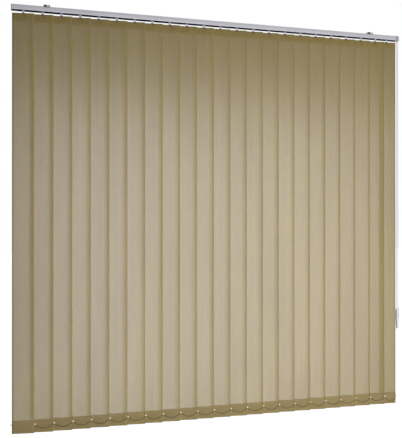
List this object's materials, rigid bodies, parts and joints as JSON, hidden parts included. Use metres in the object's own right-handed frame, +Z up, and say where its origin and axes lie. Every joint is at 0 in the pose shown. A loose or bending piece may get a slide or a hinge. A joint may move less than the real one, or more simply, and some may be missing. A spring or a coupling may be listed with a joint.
{
  "type": "vertical blind",
  "caption": "Vertical blind with fabric louvres that turn and gather along a slim ceiling headrail, a pull cord loop with a weight, and chains along the foot.",
  "frame": {"origin": "midway between the two ceiling screws, on the ceiling plane", "axes": "+X along the headrail to the right as seen from the room, -Y into the room, +Z up"},
  "size_m": [1.7887, 0.0302, 1.7547],
  "materials": {
    "fabric": "woven, matte, slightly translucent",
    "carrier": "moulded",
    "rail": "satin silver lacquer",
    "grey_plastic": "moulded",
    "steel": "pressed sheet",
    "cord": "braided",
    "white_plastic": "moulded",
    "rod": "extruded",
    "chain": "moulded"
  },
  "bodies": {
    "frame": {"headrail": "rail", "left_end_cap": "grey_plastic", "control_housing": "grey_plastic", "left_bracket": "steel", "right_bracket": "steel", "traverse_cord": "cord", "pull_cord": "cord", "cord_weight": "white_plastic", "carrier_23": "carrier"},
    "carrier_01": {"carrier_01": "carrier"},
    "carrier_02": {"carrier_02": "carrier"},
    "carrier_03": {"carrier_03": "carrier"},
    "carrier_04": {"carrier_04": "carrier"},
    "carrier_05": {"carrier_05": "carrier"},
    "carrier_06": {"carrier_06": "carrier"},
    "carrier_07": {"carrier_07": "carrier"},
    "carrier_08": {"carrier_08": "carrier"},
    "carrier_09": {"carrier_09": "carrier"},
    "carrier_10": {"carrier_10": "carrier"},
    "carrier_11": {"carrier_11": "carrier"},
    "carrier_12": {"carrier_12": "carrier"},
    "carrier_13": {"carrier_13": "carrier"},
    "carrier_14": {"carrier_14": "carrier"},
    "carrier_15": {"carrier_15": "carrier"},
    "carrier_16": {"carrier_16": "carrier"},
    "carrier_17": {"carrier_17": "carrier"},
    "carrier_18": {"carrier_18": "carrier"},
    "carrier_19": {"carrier_19": "carrier"},
    "carrier_20": {"carrier_20": "carrier"},
    "carrier_21": {"carrier_21": "carrier"},
    "carrier_22": {"carrier_22": "carrier"},
    "louvre_01": {"louvre_01": "fabric"},
    "louvre_02": {"louvre_02": "fabric"},
    "louvre_03": {"louvre_03": "fabric"},
    "louvre_04": {"louvre_04": "fabric"},
    "louvre_05": {"louvre_05": "fabric"},
    "louvre_06": {"louvre_06": "fabric"},
    "louvre_07": {"louvre_07": "fabric"},
    "louvre_08": {"louvre_08": "fabric"},
    "louvre_09": {"louvre_09": "fabric"},
    "louvre_10": {"louvre_10": "fabric"},
    "louvre_11": {"louvre_11": "fabric"},
    "louvre_12": {"louvre_12": "fabric"},
    "louvre_13": {"louvre_13": "fabric"},
    "louvre_14": {"louvre_14": "fabric"},
    "louvre_15": {"louvre_15": "fabric"},
    "louvre_16": {"louvre_16": "fabric"},
    "louvre_17": {"louvre_17": "fabric"},
    "louvre_18": {"louvre_18": "fabric"},
    "louvre_19": {"louvre_19": "fabric"},
    "louvre_20": {"louvre_20": "fabric"},
    "louvre_21": {"louvre_21": "fabric"},
    "louvre_22": {"louvre_22": "fabric"},
    "louvre_23": {"louvre_23": "fabric"},
    "tilt_rod": {"tilt_rod": "rod", "cord_wheel": "white_plastic"},
    "idler_pulley": {"idler_pulley": "white_plastic"},
    "traverse_pulley": {"traverse_pulley": "white_plastic"},
    "front_chain": {"front_chain": "chain"},
    "rear_chain": {"rear_chain": "chain"}
  },
  "joints": [
    {"name": "traverse", "type": "slide", "parent": "frame", "child": "carrier_01", "axis": [1, 0, 0], "range_m": [0, 1.369], "deforming": ["front_chain", "rear_chain"]},
    {"name": "traverse_02", "type": "slide", "parent": "frame", "child": "carrier_02", "axis": [1, 0, 0], "range_m": [0, 1.30601]},
    {"name": "traverse_03", "type": "slide", "parent": "frame", "child": "carrier_03", "axis": [1, 0, 0], "range_m": [0, 1.24301]},
    {"name": "traverse_04", "type": "slide", "parent": "frame", "child": "carrier_04", "axis": [1, 0, 0], "range_m": [0, 1.18001]},
    {"name": "traverse_05", "type": "slide", "parent": "frame", "child": "carrier_05", "axis": [1, 0, 0], "range_m": [0, 1.11701]},
    {"name": "traverse_06", "type": "slide", "parent": "frame", "child": "carrier_06", "axis": [1, 0, 0], "range_m": [0, 1.05401]},
    {"name": "traverse_07", "type": "slide", "parent": "frame", "child": "carrier_07", "axis": [1, 0, 0], "range_m": [0, 0.99101]},
    {"name": "traverse_08", "type": "slide", "parent": "frame", "child": "carrier_08", "axis": [1, 0, 0], "range_m": [0, 0.92801]},
    {"name": "traverse_09", "type": "slide", "parent": "frame", "child": "carrier_09", "axis": [1, 0, 0], "range_m": [0, 0.86501]},
    {"name": "traverse_10", "type": "slide", "parent": "frame", "child": "carrier_10", "axis": [1, 0, 0], "range_m": [0, 0.80201]},
    {"name": "traverse_11", "type": "slide", "parent": "frame", "child": "carrier_11", "axis": [1, 0, 0], "range_m": [0, 0.73901]},
    {"name": "traverse_12", "type": "slide", "parent": "frame", "child": "carrier_12", "axis": [1, 0, 0], "range_m": [0, 0.67601]},
    {"name": "traverse_13", "type": "slide", "parent": "frame", "child": "carrier_13", "axis": [1, 0, 0], "range_m": [0, 0.61301]},
    {"name": "traverse_14", "type": "slide", "parent": "frame", "child": "carrier_14", "axis": [1, 0, 0], "range_m": [0, 0.55001]},
    {"name": "traverse_15", "type": "slide", "parent": "frame", "child": "carrier_15", "axis": [1, 0, 0], "range_m": [0, 0.48701]},
    {"name": "traverse_16", "type": "slide", "parent": "frame", "child": "carrier_16", "axis": [1, 0, 0], "range_m": [0, 0.42401]},
    {"name": "traverse_17", "type": "slide", "parent": "frame", "child": "carrier_17", "axis": [1, 0, 0], "range_m": [0, 0.36101]},
    {"name": "traverse_18", "type": "slide", "parent": "frame", "child": "carrier_18", "axis": [1, 0, 0], "range_m": [0, 0.29801]},
    {"name": "traverse_19", "type": "slide", "parent": "frame", "child": "carrier_19", "axis": [1, 0, 0], "range_m": [0, 0.23501]},
    {"name": "traverse_20", "type": "slide", "parent": "frame", "child": "carrier_20", "axis": [1, 0, 0], "range_m": [0, 0.17201]},
    {"name": "traverse_21", "type": "slide", "parent": "frame", "child": "carrier_21", "axis": [1, 0, 0], "range_m": [0, 0.10901]},
    {"name": "traverse_22", "type": "slide", "parent": "frame", "child": "carrier_22", "axis": [1, 0, 0], "range_m": [0, 0.04601]},
    {"name": "tilt", "type": "hinge", "parent": "frame", "child": "louvre_23", "pos_m": [0.8385, 0, -0.03], "axis": [0, 0, 1], "range_deg": [-164, 0]},
    {"name": "tilt_01", "type": "hinge", "parent": "carrier_01", "child": "louvre_01", "pos_m": [-0.8385, 0, -0.03], "axis": [0, 0, 1], "range_deg": [-164, 0]},
    {"name": "tilt_02", "type": "hinge", "parent": "carrier_02", "child": "louvre_02", "pos_m": [-0.7615, 0, -0.03], "axis": [0, 0, 1], "range_deg": [-164, 0]},
    {"name": "tilt_03", "type": "hinge", "parent": "carrier_03", "child": "louvre_03", "pos_m": [-0.6845, 0, -0.03], "axis": [0, 0, 1], "range_deg": [-164, 0]},
    {"name": "tilt_04", "type": "hinge", "parent": "carrier_04", "child": "louvre_04", "pos_m": [-0.6075, 0, -0.03], "axis": [0, 0, 1], "range_deg": [-164, 0]},
    {"name": "tilt_05", "type": "hinge", "parent": "carrier_05", "child": "louvre_05", "pos_m": [-0.5305, 0, -0.03], "axis": [0, 0, 1], "range_deg": [-164, 0]},
    {"name": "tilt_06", "type": "hinge", "parent": "carrier_06", "child": "louvre_06", "pos_m": [-0.4535, 0, -0.03], "axis": [0, 0, 1], "range_deg": [-164, 0]},
    {"name": "tilt_07", "type": "hinge", "parent": "carrier_07", "child": "louvre_07", "pos_m": [-0.3765, 0, -0.03], "axis": [0, 0, 1], "range_deg": [-164, 0]},
    {"name": "tilt_08", "type": "hinge", "parent": "carrier_08", "child": "louvre_08", "pos_m": [-0.2995, 0, -0.03], "axis": [0, 0, 1], "range_deg": [-164, 0]},
    {"name": "tilt_09", "type": "hinge", "parent": "carrier_09", "child": "louvre_09", "pos_m": [-0.2225, 0, -0.03], "axis": [0, 0, 1], "range_deg": [-164, 0]},
    {"name": "tilt_10", "type": "hinge", "parent": "carrier_10", "child": "louvre_10", "pos_m": [-0.1455, 0, -0.03], "axis": [0, 0, 1], "range_deg": [-164, 0]},
    {"name": "tilt_11", "type": "hinge", "parent": "carrier_11", "child": "louvre_11", "pos_m": [-0.0685, 0, -0.03], "axis": [0, 0, 1], "range_deg": [-164, 0]},
    {"name": "tilt_12", "type": "hinge", "parent": "carrier_12", "child": "louvre_12", "pos_m": [0.0085, 0, -0.03], "axis": [0, 0, 1], "range_deg": [-164, 0]},
    {"name": "tilt_13", "type": "hinge", "parent": "carrier_13", "child": "louvre_13", "pos_m": [0.0855, 0, -0.03], "axis": [0, 0, 1], "range_deg": [-164, 0]},
    {"name": "tilt_14", "type": "hinge", "parent": "carrier_14", "child": "louvre_14", "pos_m": [0.1625, 0, -0.03], "axis": [0, 0, 1], "range_deg": [-164, 0]},
    {"name": "tilt_15", "type": "hinge", "parent": "carrier_15", "child": "louvre_15", "pos_m": [0.2395, 0, -0.03], "axis": [0, 0, 1], "range_deg": [-164, 0]},
    {"name": "tilt_16", "type": "hinge", "parent": "carrier_16", "child": "louvre_16", "pos_m": [0.3165, 0, -0.03], "axis": [0, 0, 1], "range_deg": [-164, 0]},
    {"name": "tilt_17", "type": "hinge", "parent": "carrier_17", "child": "louvre_17", "pos_m": [0.3935, 0, -0.03], "axis": [0, 0, 1], "range_deg": [-164, 0]},
    {"name": "tilt_18", "type": "hinge", "parent": "carrier_18", "child": "louvre_18", "pos_m": [0.4705, 0, -0.03], "axis": [0, 0, 1], "range_deg": [-164, 0]},
    {"name": "tilt_19", "type": "hinge", "parent": "carrier_19", "child": "louvre_19", "pos_m": [0.5475, 0, -0.03], "axis": [0, 0, 1], "range_deg": [-164, 0]},
    {"name": "tilt_20", "type": "hinge", "parent": "carrier_20", "child": "louvre_20", "pos_m": [0.6245, 0, -0.03], "axis": [0, 0, 1], "range_deg": [-164, 0]},
    {"name": "tilt_21", "type": "hinge", "parent": "carrier_21", "child": "louvre_21", "pos_m": [0.7015, 0, -0.03], "axis": [0, 0, 1], "range_deg": [-164, 0]},
    {"name": "tilt_22", "type": "hinge", "parent": "carrier_22", "child": "louvre_22", "pos_m": [0.7785, 0, -0.03], "axis": [0, 0, 1], "range_deg": [-164, 0]},
    {"name": "rod_turn", "type": "hinge", "parent": "frame", "child": "tilt_rod", "pos_m": [0, -0.0064, -0.0182], "axis": [1, 0, 0], "range_deg": [0, 656]},
    {"name": "idler_turn", "type": "hinge", "parent": "frame", "child": "idler_pulley", "pos_m": [-0.872, 0, -0.0124], "axis": [0, 0, 1], "range_deg": [0, 9805.7]},
    {"name": "pulley_turn", "type": "hinge", "parent": "frame", "child": "traverse_pulley", "pos_m": [0.867, 0, -0.0124], "axis": [0, 0, 1], "range_deg": [0, 9805.7]},
    {"name": "front_chain_swing", "type": "hinge", "parent": "louvre_23", "child": "front_chain", "pos_m": [0.88554, -0.00661, -1.7187], "axis": [0, 0, 1], "range_deg": [0, 164]},
    {"name": "rear_chain_swing", "type": "hinge", "parent": "louvre_23", "child": "rear_chain", "pos_m": [0.79146, 0.00661, -1.7187], "axis": [0, 0, 1], "range_deg": [0, 164]}
  ],
  "couplings": [
    {"joint": "traverse_02", "follows": "traverse", "ratio": 0.95398},
    {"joint": "traverse_03", "follows": "traverse", "ratio": 0.90796},
    {"joint": "traverse_04", "follows": "traverse", "ratio": 0.86194},
    {"joint": "traverse_05", "follows": "traverse", "ratio": 0.81592},
    {"joint": "traverse_06", "follows": "traverse", "ratio": 0.7699},
    {"joint": "traverse_07", "follows": "traverse", "ratio": 0.72389},
    {"joint": "traverse_08", "follows": "traverse", "ratio": 0.67787},
    {"joint": "traverse_09", "follows": "traverse", "ratio": 0.63185},
    {"joint": "traverse_10", "follows": "traverse", "ratio": 0.58583},
    {"joint": "traverse_11", "follows": "traverse", "ratio": 0.53981},
    {"joint": "traverse_12", "follows": "traverse", "ratio": 0.49379},
    {"joint": "traverse_13", "follows": "traverse", "ratio": 0.44777},
    {"joint": "traverse_14", "follows": "traverse", "ratio": 0.40175},
    {"joint": "traverse_15", "follows": "traverse", "ratio": 0.35573},
    {"joint": "traverse_16", "follows": "traverse", "ratio": 0.30972},
    {"joint": "traverse_17", "follows": "traverse", "ratio": 0.2637},
    {"joint": "traverse_18", "follows": "traverse", "ratio": 0.21768},
    {"joint": "traverse_19", "follows": "traverse", "ratio": 0.17166},
    {"joint": "traverse_20", "follows": "traverse", "ratio": 0.12564},
    {"joint": "traverse_21", "follows": "traverse", "ratio": 0.07962},
    {"joint": "traverse_22", "follows": "traverse", "ratio": 0.033601},
    {"joint": "tilt_01", "follows": "tilt", "ratio": 1},
    {"joint": "tilt_02", "follows": "tilt", "ratio": 1},
    {"joint": "tilt_03", "follows": "tilt", "ratio": 1},
    {"joint": "tilt_04", "follows": "tilt", "ratio": 1},
    {"joint": "tilt_05", "follows": "tilt", "ratio": 1},
    {"joint": "tilt_06", "follows": "tilt", "ratio": 1},
    {"joint": "tilt_07", "follows": "tilt", "ratio": 1},
    {"joint": "tilt_08", "follows": "tilt", "ratio": 1},
    {"joint": "tilt_09", "follows": "tilt", "ratio": 1},
    {"joint": "tilt_10", "follows": "tilt", "ratio": 1},
    {"joint": "tilt_11", "follows": "tilt", "ratio": 1},
    {"joint": "tilt_12", "follows": "tilt", "ratio": 1},
    {"joint": "tilt_13", "follows": "tilt", "ratio": 1},
    {"joint": "tilt_14", "follows": "tilt", "ratio": 1},
    {"joint": "tilt_15", "follows": "tilt", "ratio": 1},
    {"joint": "tilt_16", "follows": "tilt", "ratio": 1},
    {"joint": "tilt_17", "follows": "tilt", "ratio": 1},
    {"joint": "tilt_18", "follows": "tilt", "ratio": 1},
    {"joint": "tilt_19", "follows": "tilt", "ratio": 1},
    {"joint": "tilt_20", "follows": "tilt", "ratio": 1},
    {"joint": "tilt_21", "follows": "tilt", "ratio": 1},
    {"joint": "tilt_22", "follows": "tilt", "ratio": 1},
    {"joint": "rod_turn", "follows": "tilt", "ratio": -4},
    {"joint": "idler_turn", "follows": "traverse", "rad_per_m": 125},
    {"joint": "pulley_turn", "follows": "traverse", "rad_per_m": 125},
    {"joint": "front_chain_swing", "follows": "tilt", "ratio": -1},
    {"joint": "rear_chain_swing", "follows": "tilt", "ratio": -1}
  ]
}
